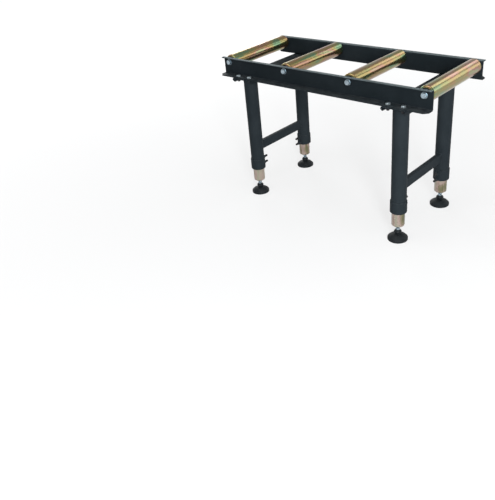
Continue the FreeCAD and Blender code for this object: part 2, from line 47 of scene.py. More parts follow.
corners = ("front_left", "front_right", "back_left", "back_right")
levels = ("lower", "upper")
rollerNumbers = (1, 2, 3, 4)
millimetre = 0.001


def middle(node):
    low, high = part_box(node)
    return (low + high) / 2


def addNode(tree, kind, values=None, **settings):
    made = tree.nodes.new("ShaderNode" + kind)
    for name, value in settings.items():
        setattr(made, name, value)
    for socket, value in (values or {}).items():
        feed(tree, made.inputs[socket], value)
    return made


def feed(tree, socket, value):
    # a socket is linked, a plain value is set
    if isinstance(value, bpy.types.NodeSocket):
        tree.links.new(value, socket)
    else:
        socket.default_value = value


def calc(tree, operation, first, second, clamp=False):
    made = addNode(tree, "Math", {0: first, 1: second}, operation=operation, use_clamp=clamp)
    return made.outputs[0]


def mixColour(tree, factor, first, second):
    # sockets 6 and 7 and output 2 are the mix node's colours
    return addNode(tree, "Mix", {0: factor, 6: first, 7: second}, data_type="RGBA").outputs[2]


def remap(tree, value, fromLow, fromHigh, toLow=0.0, toHigh=1.0):
    values = {"Value": value, "From Min": fromLow, "From Max": fromHigh, "To Min": toLow, "To Max": toHigh}
    return addNode(tree, "MapRange", values).outputs[0]


def colourRamp(tree, factor, stops):
    made = addNode(tree, "ValToRGB", {0: factor})
    elements = made.color_ramp.elements
    while len(elements) < len(stops):
        elements.new(0.5)
    for element, (position, colour) in zip(elements, stops):
        element.position = position
        element.color = (*colour, 1.0)
    return made.outputs[0]


def scaled(tree, vector, x, y, z):
    return addNode(tree, "Mapping", {"Vector": vector, "Scale": (x, y, z)}).outputs[0]


def shifted(tree, vector, offset):
    return addNode(tree, "VectorMath", {0: vector, 1: offset}, operation="ADD").outputs[0]


def product(tree, first, second):
    return addNode(tree, "VectorMath", {0: first, 1: second}, operation="MULTIPLY").outputs[0]


def uneven(tree, level, pattern, amount):
    # a level that a pattern raises by up to the amount
    return calc(tree, "ADD", level, calc(tree, "MULTIPLY", pattern, amount))


def noise(tree, vector, scale, detail, roughness=0.5, distortion=0.0):
    values = {"Vector": vector, "Scale": scale, "Detail": detail, "Roughness": roughness,
              "Distortion": distortion}
    return addNode(tree, "TexNoise", values).outputs[0]


def bump(tree, height, distance, strength, normal=None):
    values = {"Height": height, "Distance": distance, "Strength": strength}
    if normal is not None:
        values["Normal"] = normal
    return addNode(tree, "Bump", values).outputs[0]


# shared effects, each a node group with its own sockets


def newGroup(name, inputs, outputs):
    tree = bpy.data.node_groups.new(name, "ShaderNodeTree")
    for label, kind, value in inputs:
        socket = tree.interface.new_socket(label, in_out="INPUT", socket_type="NodeSocket" + kind)
        if value is not None:
            socket.default_value = value
    for label, kind in outputs:
        tree.interface.new_socket(label, in_out="OUTPUT", socket_type="NodeSocket" + kind)
    source = tree.nodes.new("NodeGroupInput")
    sink = tree.nodes.new("NodeGroupOutput")
    return tree, source.outputs, sink.inputs


def useGroup(tree, group, values):
    made = tree.nodes.new("ShaderNodeGroup")
    made.node_tree = group
    for socket, value in values.items():
        feed(tree, made.inputs[socket], value)
    return made.outputs


# a pair of numbers is the range of a pattern that is spread over 0 to 1
edgeWearAndSheenPattern = {"samples": 6, "edge": (0.995, 0.86), "spots": (0.42, 0.62)}


def makeEdgeWearAndSheen():
    # edges: where a rounded normal leaves the true one, broken up by noise; rubbed wear on most finishes, a
    # painted highlight on the powder coat
    inputs = [("Vector", "Vector", None), ("Width", "Float", 0.0012), ("Breakup", "Float", 60.0),
              ("Amount", "Float", 1.0)]
    tree, given, out = newGroup("edgeWearAndSheen", inputs, [("Mask", "Float"), ("Normal", "Vector")])
    rounded = addNode(tree, "Bevel", {"Radius": given["Width"]}, samples=edgeWearAndSheenPattern["samples"]).outputs[0]
    flat = addNode(tree, "NewGeometry").outputs["True Normal"]
    dot = addNode(tree, "VectorMath", {0: rounded, 1: flat}, operation="DOT_PRODUCT").outputs["Value"]
    edge = remap(tree, dot, *edgeWearAndSheenPattern["edge"])
    spots = noise(tree, given["Vector"], given["Breakup"], detail=6.0, roughness=0.65)
    broken = calc(tree, "MULTIPLY", edge, remap(tree, spots, *edgeWearAndSheenPattern["spots"]), clamp=True)
    feed(tree, out["Mask"], calc(tree, "MULTIPLY", broken, given["Amount"], clamp=True))
    feed(tree, out["Normal"], rounded)
    return tree


coatPattern = {"peelShare": 0.75, "gritShare": 0.25, "toneScale": 7.0}


def makeCoatGrain():
    # powder coat: orange peel, fine grit and a slow change of tone
    inputs = [("Vector", "Vector", None), ("Peel", "Float", 420.0), ("Grit", "Float", 2600.0)]
    tree, given, out = newGroup("coatGrain", inputs, [("Height", "Float"), ("Tone", "Float")])
    peel = noise(tree, given["Vector"], given["Peel"], detail=2.0, roughness=0.45)
    grit = noise(tree, given["Vector"], given["Grit"], detail=1.0)
    coarse = calc(tree, "MULTIPLY", peel, coatPattern["peelShare"])
    fine = calc(tree, "MULTIPLY", grit, coatPattern["gritShare"])
    feed(tree, out["Height"], calc(tree, "ADD", coarse, fine))
    tone = noise(tree, given["Vector"], coatPattern["toneScale"], detail=4.0, roughness=0.6)
    feed(tree, out["Tone"], tone)
    return tree


# facing is how far a face looks up, from level to straight up
dustPattern = {"facing": (0.35, 1.0), "clouds": (0.35, 0.75)}


def makeDust():
    # pale dust that lies on what faces up
    inputs = [("Vector", "Vector", None), ("Amount", "Float", 0.3), ("Scale", "Float", 30.0)]
    tree, given, out = newGroup("dust", inputs, [("Mask", "Float")])
    up = addNode(tree, "SeparateXYZ", {0: addNode(tree, "NewGeometry").outputs["Normal"]}).outputs[2]
    lying = remap(tree, up, *dustPattern["facing"])
    spread = noise(tree, given["Vector"], given["Scale"], detail=6.0, roughness=0.7)
    clouds = remap(tree, spread, *dustPattern["clouds"])
    feed(tree, out["Mask"], calc(tree, "MULTIPLY", calc(tree, "MULTIPLY", lying, clouds), given["Amount"]))
    return tree


bloomPattern = {
    "bandShare": 0.6,
    "driftShare": 0.4,
    "driftScale": 9.0,
    "cloudScale": 20.0,
    "cloudShift": (3.1, 1.7, 0.4),
    "streaksPerBand": 8.0,
}


def makeZincBloom():
    # yellow passivated zinc: the hue runs in long soft bands that drift along the piece
    inputs = [("Vector", "Vector", None), ("Along", "Vector", (1.0, 1.0, 1.0)), ("Bands", "Float", 9.0)]
    outputs = [("Hue", "Float"), ("Cloud", "Float"), ("Streak", "Float")]
    tree, given, out = newGroup("zincBloom", inputs, outputs)
    drawn = product(tree, given["Vector"], given["Along"])
    bands = noise(tree, drawn, given["Bands"], detail=2.0, distortion=0.3)
    drift = noise(tree, given["Vector"], bloomPattern["driftScale"], detail=2.0)
    fromBands = calc(tree, "MULTIPLY", bands, bloomPattern["bandShare"])
    fromDrift = calc(tree, "MULTIPLY", drift, bloomPattern["driftShare"])
    feed(tree, out["Hue"], calc(tree, "ADD", fromBands, fromDrift))
    aside = shifted(tree, drawn, bloomPattern["cloudShift"])
    feed(tree, out["Cloud"], noise(tree, aside, bloomPattern["cloudScale"], detail=2.0))
    fine = calc(tree, "MULTIPLY", given["Bands"], bloomPattern["streaksPerBand"])
    feed(tree, out["Streak"], noise(tree, drawn, fine, detail=2.0))
    return tree


scuffPattern = {"lines": (0.62, 0.70), "patches": (0.52, 0.70), "patchScale": 18.0}


def makeScuffs():
    # fine scratches along one direction, and rubbed patches
    inputs = [("Vector", "Vector", None), ("Along", "Vector", (1.0, 1.0, 1.0)), ("Scale", "Float", 200.0)]
    tree, given, out = newGroup("scuffs", inputs, [("Lines", "Float"), ("Patches", "Float")])
    drawn = product(tree, given["Vector"], given["Along"])
    lines = remap(tree, noise(tree, drawn, given["Scale"], detail=2.0), *scuffPattern["lines"])
    spread = noise(tree, given["Vector"], scuffPattern["patchScale"], detail=5.0, roughness=0.65)
    patches = remap(tree, spread, *scuffPattern["patches"])
    feed(tree, out["Lines"], calc(tree, "MULTIPLY", lines, patches, clamp=True))
    feed(tree, out["Patches"], patches)
    return tree


edgeWearAndSheen = makeEdgeWearAndSheen()
coatGrain = makeCoatGrain()
dust = makeDust()
zincBloom = makeZincBloom()
scuffs = makeScuffs()
print("shared effects made")


def newMaterial(name):
    material = bpy.data.materials.new(name)
    material.use_nodes = True
    tree = material.node_tree
    shader = next(node for node in tree.nodes if node.type == "BSDF_PRINCIPLED")
    place = addNode(tree, "TexCoord").outputs["Object"]
    return material, tree, shader, place


# "edges" holds values for the sockets of the edge wear and painted edge highlight, here and below
railCoat = {
    "colour": (0.014, 0.020, 0.024),
    "paler": (0.021, 0.028, 0.033),
    # rubbed colour for scratches, also painted as a highlight along the folded edges
    "rubbedAndSheen": (0.10, 0.115, 0.125),
    # the tops of the rails get a painted highlight, broken up in patches
    "topHighlightDepth": 0.0022,  # metres under the top of the rails that the painted highlight covers
    "topHighlight": (0.17, 0.21, 0.22),
    "leastTopHighlight": 0.75,  # on the tops, where 1 is the full painted highlight
    "dust": (0.20, 0.21, 0.21),
    "dustAmount": 0.2,
    "roughness": 0.46,
    "specular": 0.04,
    "peelDepth": 0.00012,
    "peelStrength": 0.6,
    "edges": {"Width": 0.0016, "Amount": 0.75},
    "tone": (0.35, 0.7),
    "scratches": 0.35,
    "scratchAlong": (0.12, 1.0, 1.0),
    "scratchScale": 500.0,
    "toneRoughness": 0.12,
    "dustRoughness": 0.6,
}
# a lighter copy of the same powder coat for legs, braces, collars and welds: painted highlight
litTubeCoat = {**railCoat, "colour": (0.024, 0.032, 0.038), "paler": (0.034, 0.044, 0.051), "dustAmount": 0.07}


def makeSlateCoat(name, look):
    material, tree, shader, place = newMaterial(name)
    grain = useGroup(tree, coatGrain, {"Vector": place})
    wearAndSheen = useGroup(tree, edgeWearAndSheen, {"Vector": place, **look["edges"]})
    fall = useGroup(tree, dust, {"Vector": place, "Amount": look["dustAmount"]})
    scratchValues = {"Vector": place, "Along": look["scratchAlong"], "Scale": look["scratchScale"]}
    marks = useGroup(tree, scuffs, scratchValues)
    tone = remap(tree, grain["Tone"], *look["tone"])
    base = mixColour(tree, tone, (*look["colour"], 1), (*look["paler"], 1))
    scratched = calc(tree, "MULTIPLY", marks["Lines"], look["scratches"])
    base = mixColour(tree, scratched, base, (*look["rubbedAndSheen"], 1))
    # painted highlight along the edges, in the rubbed colour
    base = mixColour(tree, wearAndSheen["Mask"], base, (*look["rubbedAndSheen"], 1))
    base = mixColour(tree, fall["Mask"], base, (*look["dust"], 1))
    # painted highlight along the tops of the rails, broken up in patches
    height = addNode(tree, "SeparateXYZ", {0: place}).outputs[2]
    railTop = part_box("front_side_rail")[1].z
    onTop = remap(tree, height, railTop - look["topHighlightDepth"], railTop - look["topHighlightDepth"] / 2)
    wornAndSheen = calc(tree, "MULTIPLY", onTop, remap(tree, marks["Patches"], 0.0, 1.0, look["leastTopHighlight"]))
    base = mixColour(tree, wornAndSheen, base, (*look["topHighlight"], 1))
    feed(tree, shader.inputs["Base Color"], base)
    rough = uneven(tree, look["roughness"], grain["Tone"], look["toneRoughness"])
    feed(tree, shader.inputs["Roughness"], uneven(tree, rough, fall["Mask"], look["dustRoughness"]))
    shader.inputs["Specular IOR Level"].default_value = look["specular"]
    relief = bump(tree, grain["Height"], look["peelDepth"], look["peelStrength"], wearAndSheen["Normal"])
    feed(tree, shader.inputs["Normal"], relief)
    return material


# stops give the plating's colours from the low end of the hue to the high end
rollerZinc = {
    "along": (1.0, 0.13, 1.0),
    "bands": 42.0,
    "stops": [(0.40, (0.14, 0.23, 0.13)), (0.445, (0.24, 0.24, 0.10)), (0.49, (0.29, 0.225, 0.09)),
              (0.53, (0.31, 0.20, 0.09)), (0.57, (0.33, 0.18, 0.14)), (0.62, (0.28, 0.28, 0.15))],
    "metallic": 0.9,
    "roughness": 0.19,
    "edgeColour": (0.42, 0.38, 0.27),
    "edges": {"Width": 0.0012, "Amount": 0.8},
    "scratches": 0.2,
    "scratchScale": 420.0,
    "cloudRoughness": 0.07,
    "patchRoughness": 0.03,
    "streakDepth": 0.000004,
    "streakStrength": 0.4,
    "offset": (0.2, 0.0, 0.6),
    "offsetStep": (0.0, 1.3, 0.0),
}
tubeZinc = {
    **rollerZinc,
    "along": (1.0, 1.0, 0.16),
    "bands": 34.0,
    "stops": [(0.40, (0.13, 0.13, 0.07)), (0.45, (0.20, 0.19, 0.10)), (0.49, (0.31, 0.25, 0.18)),
              (0.53, (0.47, 0.35, 0.31)), (0.58, (0.42, 0.38, 0.30)), (0.65, (0.32, 0.36, 0.24))],
    "metallic": 0.6,
    "roughness": 0.24,
    "edgeColour": (0.50, 0.46, 0.34),
    "offset": (0.0, 0.3, 1.1),
    "offsetStep": (0.7, 0.0, 0.0),
}


def makeZinc(name, look, number):
    # the offset keeps two pieces from showing the same bands
    material, tree, shader, place = newMaterial(name)
    offset = [start + step * number for start, step in zip(look["offset"], look["offsetStep"])]
    moved = shifted(tree, place, offset)
    bloom = useGroup(tree, zincBloom, {"Vector": moved, "Along": look["along"], "Bands": look["bands"]})
    wearAndSheen = useGroup(tree, edgeWearAndSheen, {"Vector": moved, **look["edges"]})
    scratchValues = {"Vector": moved, "Along": look["along"], "Scale": look["scratchScale"]}
    marks = useGroup(tree, scuffs, scratchValues)
    bloomed = colourRamp(tree, bloom["Hue"], look["stops"])
    base = mixColour(tree, wearAndSheen["Mask"], bloomed, (*look["edgeColour"], 1))
    scratched = calc(tree, "MULTIPLY", marks["Lines"], look["scratches"])
    feed(tree, shader.inputs["Base Color"], mixColour(tree, scratched, base, (*look["edgeColour"], 1)))
    shader.inputs["Metallic"].default_value = look["metallic"]
    rough = uneven(tree, look["roughness"], bloom["Cloud"], look["cloudRoughness"])
    feed(tree, shader.inputs["Roughness"], uneven(tree, rough, marks["Patches"], look["patchRoughness"]))
    relief = bump(tree, bloom["Streak"], look["streakDepth"], look["streakStrength"])
    feed(tree, shader.inputs["Normal"], relief)
    return material


brightZinc = {
    "colour": (0.44, 0.53, 0.59),
    "darker": (0.24, 0.30, 0.34),
    "edgeColour": (0.75, 0.80, 0.84),
    # below the given height the bolt is painted nearly black as shade, fading over this many metres
    "oiledAndShaded": (0.014, 0.015, 0.016),
    "shadeFade": 0.001,
    "metallic": 0.9,
    "roughness": 0.24,
    "edges": {"Width": 0.0004, "Breakup": 400.0, "Amount": 0.4},
    "cloudScale": 160.0,
    "clouds": (0.35, 0.7),
    "cloudRoughness": 0.2,
    "grainScale": 1800.0,
    "grainDepth": 0.00002,
    "grainStrength": 0.4,
}
# a lighter copy of the bright zinc for the leg bolts: painted highlight on their heads
litBoltZinc = {**brightZinc, "colour": (0.70, 0.80, 0.84), "darker": (0.45, 0.53, 0.57)}


def makeBrightZinc(name, look, shadedBelow=None):
    # below a height a bolt is painted nearly black, as painted shade
    material, tree, shader, place = newMaterial(name)
    cloud = noise(tree, place, look["cloudScale"], detail=5.0, roughness=0.65)
    wearAndSheen = useGroup(tree, edgeWearAndSheen, {"Vector": place, **look["edges"]})
    spread = remap(tree, cloud, *look["clouds"])
    base = mixColour(tree, spread, (*look["darker"], 1), (*look["colour"], 1))
    base = mixColour(tree, wearAndSheen["Mask"], base, (*look["edgeColour"], 1))
    # painted shade: nearly black below the height
    if shadedBelow is not None:
        height = addNode(tree, "SeparateXYZ", {0: place}).outputs[2]
        aboveShade = remap(tree, height, shadedBelow, shadedBelow + look["shadeFade"])
        base = mixColour(tree, aboveShade, (*look["oiledAndShaded"], 1), base)
    feed(tree, shader.inputs["Base Color"], base)
    shader.inputs["Metallic"].default_value = look["metallic"]
    feed(tree, shader.inputs["Roughness"], uneven(tree, look["roughness"], cloud, look["cloudRoughness"]))
    grain = noise(tree, place, look["grainScale"], detail=2.0)
    relief = bump(tree, grain, look["grainDepth"], look["grainStrength"], wearAndSheen["Normal"])
    feed(tree, shader.inputs["Normal"], relief)
    return material


groundSteel = {
    "colour": (0.42, 0.42, 0.43),
    "oiledAndShaded": (0.20, 0.19, 0.17),
    "oilScale": 60.0,
    "oilSpread": (0.4, 0.7),
    "oilRoughness": 0.12,
    "metallic": 0.9,
    "roughness": 0.28,
    "lineScale": 300.0,
    "lineSqueeze": (1.0, 30.0, 1.0),
    "lineDepth": 0.00002,
    "lineStrength": 0.4,
}


def makeGroundSteel():
    material, tree, shader, place = newMaterial("groundSteel")
    look = groundSteel
    film = noise(tree, place, look["oilScale"], detail=4.0, roughness=0.6)
    oil = remap(tree, film, *look["oilSpread"])
    feed(tree, shader.inputs["Base Color"], mixColour(tree, oil, (*look["colour"], 1), (*look["oiledAndShaded"], 1)))
    shader.inputs["Metallic"].default_value = look["metallic"]
    feed(tree, shader.inputs["Roughness"], uneven(tree, look["roughness"], oil, look["oilRoughness"]))
    lines = noise(tree, scaled(tree, place, *look["lineSqueeze"]), look["lineScale"], detail=2.0)
    feed(tree, shader.inputs["Normal"], bump(tree, lines, look["lineDepth"], look["lineStrength"]))
    return material


blackOxide = {
    "colour": (0.012, 0.012, 0.014),
    "wornAndSheen": (0.09, 0.09, 0.095),
    "metallic": 0.5,
    "roughness": 0.38,
    "edges": {"Width": 0.0005, "Breakup": 500.0, "Amount": 0.5},
    "cloudScale": 220.0,
    "clouds": (0.5, 0.9),
    "cloudRoughness": 0.15,
    "cloudDepth": 0.00003,
    "cloudStrength": 0.5,
}


def makeBlackOxide():
    material, tree, shader, place = newMaterial("blackOxide")
    look = blackOxide
    wearAndSheen = useGroup(tree, edgeWearAndSheen, {"Vector": place, **look["edges"]})
    cloud = noise(tree, place, look["cloudScale"], detail=4.0, roughness=0.6)
    spread = remap(tree, cloud, *look["clouds"])
    base = mixColour(tree, spread, (*look["colour"], 1), (*look["wornAndSheen"], 1))
    feed(tree, shader.inputs["Base Color"], mixColour(tree, wearAndSheen["Mask"], base, (*look["wornAndSheen"], 1)))
    shader.inputs["Metallic"].default_value = look["metallic"]
    feed(tree, shader.inputs["Roughness"], uneven(tree, look["roughness"], cloud, look["cloudRoughness"]))
    relief = bump(tree, cloud, look["cloudDepth"], look["cloudStrength"], wearAndSheen["Normal"])
    feed(tree, shader.inputs["Normal"], relief)
    return material


blackPlastic = {
    "colour": (0.007, 0.010, 0.012),
    "paler": (0.013, 0.017, 0.020),
    "scuffed": (0.05, 0.055, 0.057),
    "dust": (0.25, 0.25, 0.24),
    "dustAmount": 0.04,
    "dustScale": 60.0,
    "roughness": 0.46,
    "specular": 0.2,
    "edges": {"Width": 0.0012, "Breakup": 140.0, "Amount": 0.6},
    "cloudScale": 35.0,
    "clouds": (0.35, 0.7),
    "sparkScale": 1500.0,
    "sparkRoughness": 0.14,
    "sparkDepth": 0.00006,
    "sparkStrength": 0.5,
}


def makeBlackPlastic():
    # moulded polyamide with a fine spark texture
    material, tree, shader, place = newMaterial("blackPlastic")
    look = blackPlastic
    dustValues = {"Vector": place, "Amount": look["dustAmount"], "Scale": look["dustScale"]}
    fall = useGroup(tree, dust, dustValues)
    wearAndSheen = useGroup(tree, edgeWearAndSheen, {"Vector": place, **look["edges"]})
    spark = noise(tree, place, look["sparkScale"], detail=3.0, roughness=0.6)
    cloud = remap(tree, noise(tree, place, look["cloudScale"], detail=4.0), *look["clouds"])
    base = mixColour(tree, cloud, (*look["colour"], 1), (*look["paler"], 1))
    base = mixColour(tree, wearAndSheen["Mask"], base, (*look["scuffed"], 1))
    feed(tree, shader.inputs["Base Color"], mixColour(tree, fall["Mask"], base, (*look["dust"], 1)))
    feed(tree, shader.inputs["Roughness"], uneven(tree, look["roughness"], spark, look["sparkRoughness"]))
    shader.inputs["Specular IOR Level"].default_value = look["specular"]
    relief = bump(tree, spark, look["sparkDepth"], look["sparkStrength"], wearAndSheen["Normal"])
    feed(tree, shader.inputs["Normal"], relief)
    return material


railPaint = makeSlateCoat("railCoat", railCoat)
# the legs' coat is painted lighter than the rails' to stand in for their highlight
litTubePaint = makeSlateCoat("litTubeCoat", litTubeCoat)
fastenerZinc = makeBrightZinc("brightZinc", brightZinc)
# leg bolts: painted lighter, with painted shade below the underside of the rails
legBoltZinc = makeBrightZinc("legBoltZinc", litBoltZinc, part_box("front_side_rail")[0].z)
steel = makeGroundSteel()
oxide = makeBlackOxide()
plastic = makeBlackPlastic()
print("materials made")


def paint(node, material):
    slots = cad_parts[node].material_slots
    for slot in slots:
        slot.material = material


for node in ("front_side_rail", "back_side_rail", "left_cross_channel", "right_cross_channel"):
    paint(node, railPaint)
for node in ("left_brace", "right_brace", "clamp_weld_nuts"):
    paint(node, litTubePaint)
for node in ("axle_bolts", "axle_washers"):
    paint(node, fastenerZinc)
paint("leg_bolts", legBoltZinc)
paint("leg_nuts", oxide)
paint("bearing_inner_rings", steel)
for index, corner in enumerate(corners):
    paint(corner + "_leg_tube", litTubePaint)
    paint(corner + "_collar", litTubePaint)
    paint(corner + "_foot_stud", fastenerZinc)
    paint(corner + "_foot_base", plastic)
    for level in levels:
        paint("%s_%s_clamp_screw" % (corner, level), oxide)
    plating = makeZinc(corner + "TubeZinc", tubeZinc, index)
    paint(corner + "_inner_tube", plating)
    paint(corner + "_tube_plug", plating)
for number in rollerNumbers:
    plating = makeZinc("roller%dZinc" % number, rollerZinc, number)
    paint("roller_%d_tube" % number, plating)
    paint("roller_%d_end_housings" % number, plastic)
    paint("roller_%d_bearings" % number, steel)
    paint("roller_%d_axle" % number, steel)
print("nodes painted")


# turned and threaded pieces, made in millimetres about the Z axis


def onCircle(angle, radius, height=0.0):
    return Vector((math.cos(angle) * radius, math.sin(angle) * radius, height))


def hexagonRadius(angle, acrossFlats):
    # distance from the middle to a hexagon's side, in the direction of the angle
    fromFlat = (angle + math.pi / 6) % (math.pi / 3) - math.pi / 6
    return acrossFlats / 2 / math.cos(fromFlat)


def joinRings(mesh, first, second):
    # a ring of one vertex is a point on the axis
    count = max(len(first), len(second))
    for n in range(count):
        around = (n + 1) % count
        if len(first) == 1:
            mesh.faces.new((first[0], second[around], second[n]))
        elif len(second) == 1:
            mesh.faces.new((first[n], first[around], second[0]))
        else:
            mesh.faces.new((first[n], first[around], second[around], second[n]))


def addTurned(mesh, rings, sides):
    # rings from the bottom to the top, each (radius, height); the radius may be a function of the angle
    made = []
    for radius, height in rings:
        if radius == 0:
            made.append([mesh.verts.new((0, 0, height))])
            continue
        ring = []
        for n in range(sides):
            angle = 2 * math.pi * n / sides
            reach = radius(angle) if callable(radius) else radius
            ring.append(mesh.verts.new(onCircle(angle, reach, height)))
        made.append(ring)
    for lower, upper in zip(made, made[1:]):
        joinRings(mesh, lower, upper)


# half widths of a thread's ridge at its foot and its crest, in pitches
ridgeWidth = {"foot": 0.39, "crest": 0.07}


def addThread(mesh, radius, thread, low, high):
    # a helical ridge whose foot is sunk in the core; it fades in and out over half a turn
    pitch = thread["pitch"]
    sides = thread["sides"]
    foot = radius - thread["depth"] - thread["sink"]
    wide, narrow = ridgeWidth["foot"], ridgeWidth["crest"]
    shape = ((-wide, foot), (-narrow, radius), (narrow, radius), (wide, foot))
    steps = int((high - low - pitch) / pitch * sides)
    before = None
    for step in range(steps + 1):
        fade = min(1, 2 * step / sides, 2 * (steps - step) / sides)
        height = low + pitch / 2 + pitch * step / sides
        row = []
        for offset, reach in shape:
            ridge = foot + (reach - foot) * fade
            row.append(mesh.verts.new(onCircle(2 * math.pi * step / sides, ridge, height + offset * pitch)))
        if before:
            for n in range(len(row) - 1):
                mesh.faces.new((before[n], row[n], row[n + 1], before[n + 1]))
        before = row


def finishPiece(mesh, name, material, body, matrix=Matrix(), crease=32):
    data = bpy.data.meshes.new(name)
    mesh.transform(matrix @ Matrix.Scale(millimetre, 4))
    bmesh.ops.recalc_face_normals(mesh, faces=mesh.faces)
    mesh.to_mesh(data)
    mesh.free()
    data.shade_smooth()
    data.set_sharp_from_angle(angle=math.radians(crease))
    data.materials.append(material)
    piece = bpy.data.objects.new(name, data)
    bpy.context.scene.collection.objects.link(piece)
    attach(piece, body)
    return piece


# millimetres; heights are over the ball's centre
levellingStud = {
    "shank": 8.0,
    "shankTop": 27.0,
    "flats": (31.5, 40.5),
    "flatsEdge": 0.02,
    "acrossFlats": 13.0,
    "chamfer": 1.5,
    "arcSteps": 14,
    "thread": {"pitch": 2.0, "depth": 1.15, "sink": 0.15, "sides": 32},
}


def makeLevellingStud(corner):
    node = corner + "_foot_stud"
    size = levellingStud
    low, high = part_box(node)
    ball = (high.x - low.x) / 2 / millimetre
    top = (high.z - low.z) / millimetre - ball
    shank = size["shank"]
    core = shank - size["thread"]["depth"]
    neck = math.acos(shank / ball)
    rings = [(0, -ball)]
    for step in range(1, size["arcSteps"] + 1):
        angle = -math.pi / 2 + (math.pi / 2 + neck) * step / size["arcSteps"]
        rings.append((ball * math.cos(angle), ball * math.sin(angle)))
    rings += [(shank, size["shankTop"]), (core, size["shankTop"] + size["thread"]["depth"])]
    for edge in size["flats"]:
        rings += [(core, edge - size["flatsEdge"]), (core, edge + size["flatsEdge"])]
    rings += [(core, top - size["chamfer"]), (core - size["chamfer"], top), (0, top)]
    mesh = bmesh.new()
    addTurned(mesh, rings, size["thread"]["sides"])
    addThread(mesh, shank, size["thread"], size["shankTop"], top - size["chamfer"] / 2)
    flat = size["acrossFlats"] / 2
    for vertex in mesh.verts:
        if size["flats"][0] < vertex.co.z < size["flats"][1]:
            vertex.co.x = max(-flat, min(flat, vertex.co.x))
    place = Matrix.Translation((middle(node).x, middle(node).y, low.z + ball * millimetre))
    name = corner + "_threaded_stud"
    piece = finishPiece(mesh, name, fastenerZinc, corner + "_stud", place)
    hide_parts(node)


# millimetres, from the screw's tip; its thread stops short of both ends
clampScrew = {
    "radius": 5.0,
    "chamfer": 1.2,
    "socket": 5.0,
    "socketDepth": 4.5,
    "drillPoint": 1.2,
    "threadInset": 0.4,
    "thread": {"pitch": 1.5, "depth": 0.85, "sink": 0.12, "sides": 24},
}


def makeClampScrew(corner, level):
    node = "%s_%s_clamp_screw" % (corner, level)
    size = clampScrew
    low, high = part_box(node)
    length = (high.y - low.y) / millimetre
    core = size["radius"] - size["thread"]["depth"]
    socketFloor = length - size["socketDepth"]

    def socket(angle):
        return hexagonRadius(angle, size["socket"])

    rings = [(0, 0), (core - size["chamfer"], 0), (core, size["chamfer"]),
             (core, length - size["chamfer"] / 2), (core - size["chamfer"] / 2, length), (socket, length),
             (socket, socketFloor), (0, socketFloor - size["drillPoint"])]
    mesh = bmesh.new()
    addTurned(mesh, rings, size["thread"]["sides"])
    addThread(mesh, size["radius"], size["thread"], size["threadInset"], length - size["threadInset"])
    facesBack = corner.startswith("front")
    base = Vector((middle(node).x, low.y if facesBack else high.y, middle(node).z))
    turn = Matrix.Rotation(math.radians(-90 if facesBack else 90), 4, "X")
    name = node.replace("clamp_screw", "threaded_clamp_screw")
    piece = finishPiece(mesh, name, oxide, node, Matrix.Translation(base) @ turn)
    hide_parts(node)


# painted weld seams, in millimetres; the size is the bead's radius
weldSeam = {
    "sides": 10,
    "step": 0.7,
    "ripple": 2.6,
    "rippleDepth": 0.16,
    "channelBead": 2.0,
    "collarBead": 1.3,
    "braceBead": 1.9,
    "bossBead": 1.2,
    "bossRadius": 8.5,
    "roundPoints": 90,
    "braceCorner": 2.5,
    "braceStep": 1.0,
    "crease": 60,
}


def evenPoints(corners, step):
    # a closed line through the corners, cut into even steps
    closed = corners + [corners[0]]
    lengths = [(after - before).length for before, after in zip(closed, closed[1:])]
    count = int(sum(lengths) / step)
    spacing = sum(lengths) / count
    points = []
    for index in range(count):
        travel = spacing * index
        run = 0
        while travel > lengths[run]:
            travel -= lengths[run]
            run += 1
        points.append(closed[run].lerp(closed[run + 1], travel / lengths[run]))
    return points, spacing


def addBead(mesh, corners, size, side):
    # a rippled tube along a closed line; side is any direction across the line
    seam = weldSeam
    points, spacing = evenPoints(corners, seam["step"])
    count = len(points)
    ripples = max(1, round(count * spacing / seam["ripple"]))
    rings = []
    for index, point in enumerate(points):
        along = (points[(index + 1) % count] - points[index - 1]).normalized()
        across = (side - along * side.dot(along)).normalized()
        other = along.cross(across)
        wave = (index / count * ripples) % 1
        radius = size * (1 - seam["rippleDepth"] * wave)
        ring = []
        for n in range(seam["sides"]):
            angle = 2 * math.pi * n / seam["sides"]
            out = across * math.cos(angle) + other * math.sin(angle)
            ring.append(mesh.verts.new(point + out * radius))
        rings.append(ring)
    for index in range(count):
        joinRings(mesh, rings[index - 1], rings[index])


def roundAxis(centre, radius):
    count = weldSeam["roundPoints"]
    return [centre + onCircle(2 * math.pi * n / count, radius) for n in range(count)]


def wrapOnTube(outline, centre, radius, facing):
    # flat points (across, height) laid on a standing tube, on its +Y or -Y side
    points = []
    for x, z in outline:
        points.append(Vector((centre.x + x, centre.y + facing * math.sqrt(radius ** 2 - x ** 2), z)))
    return points


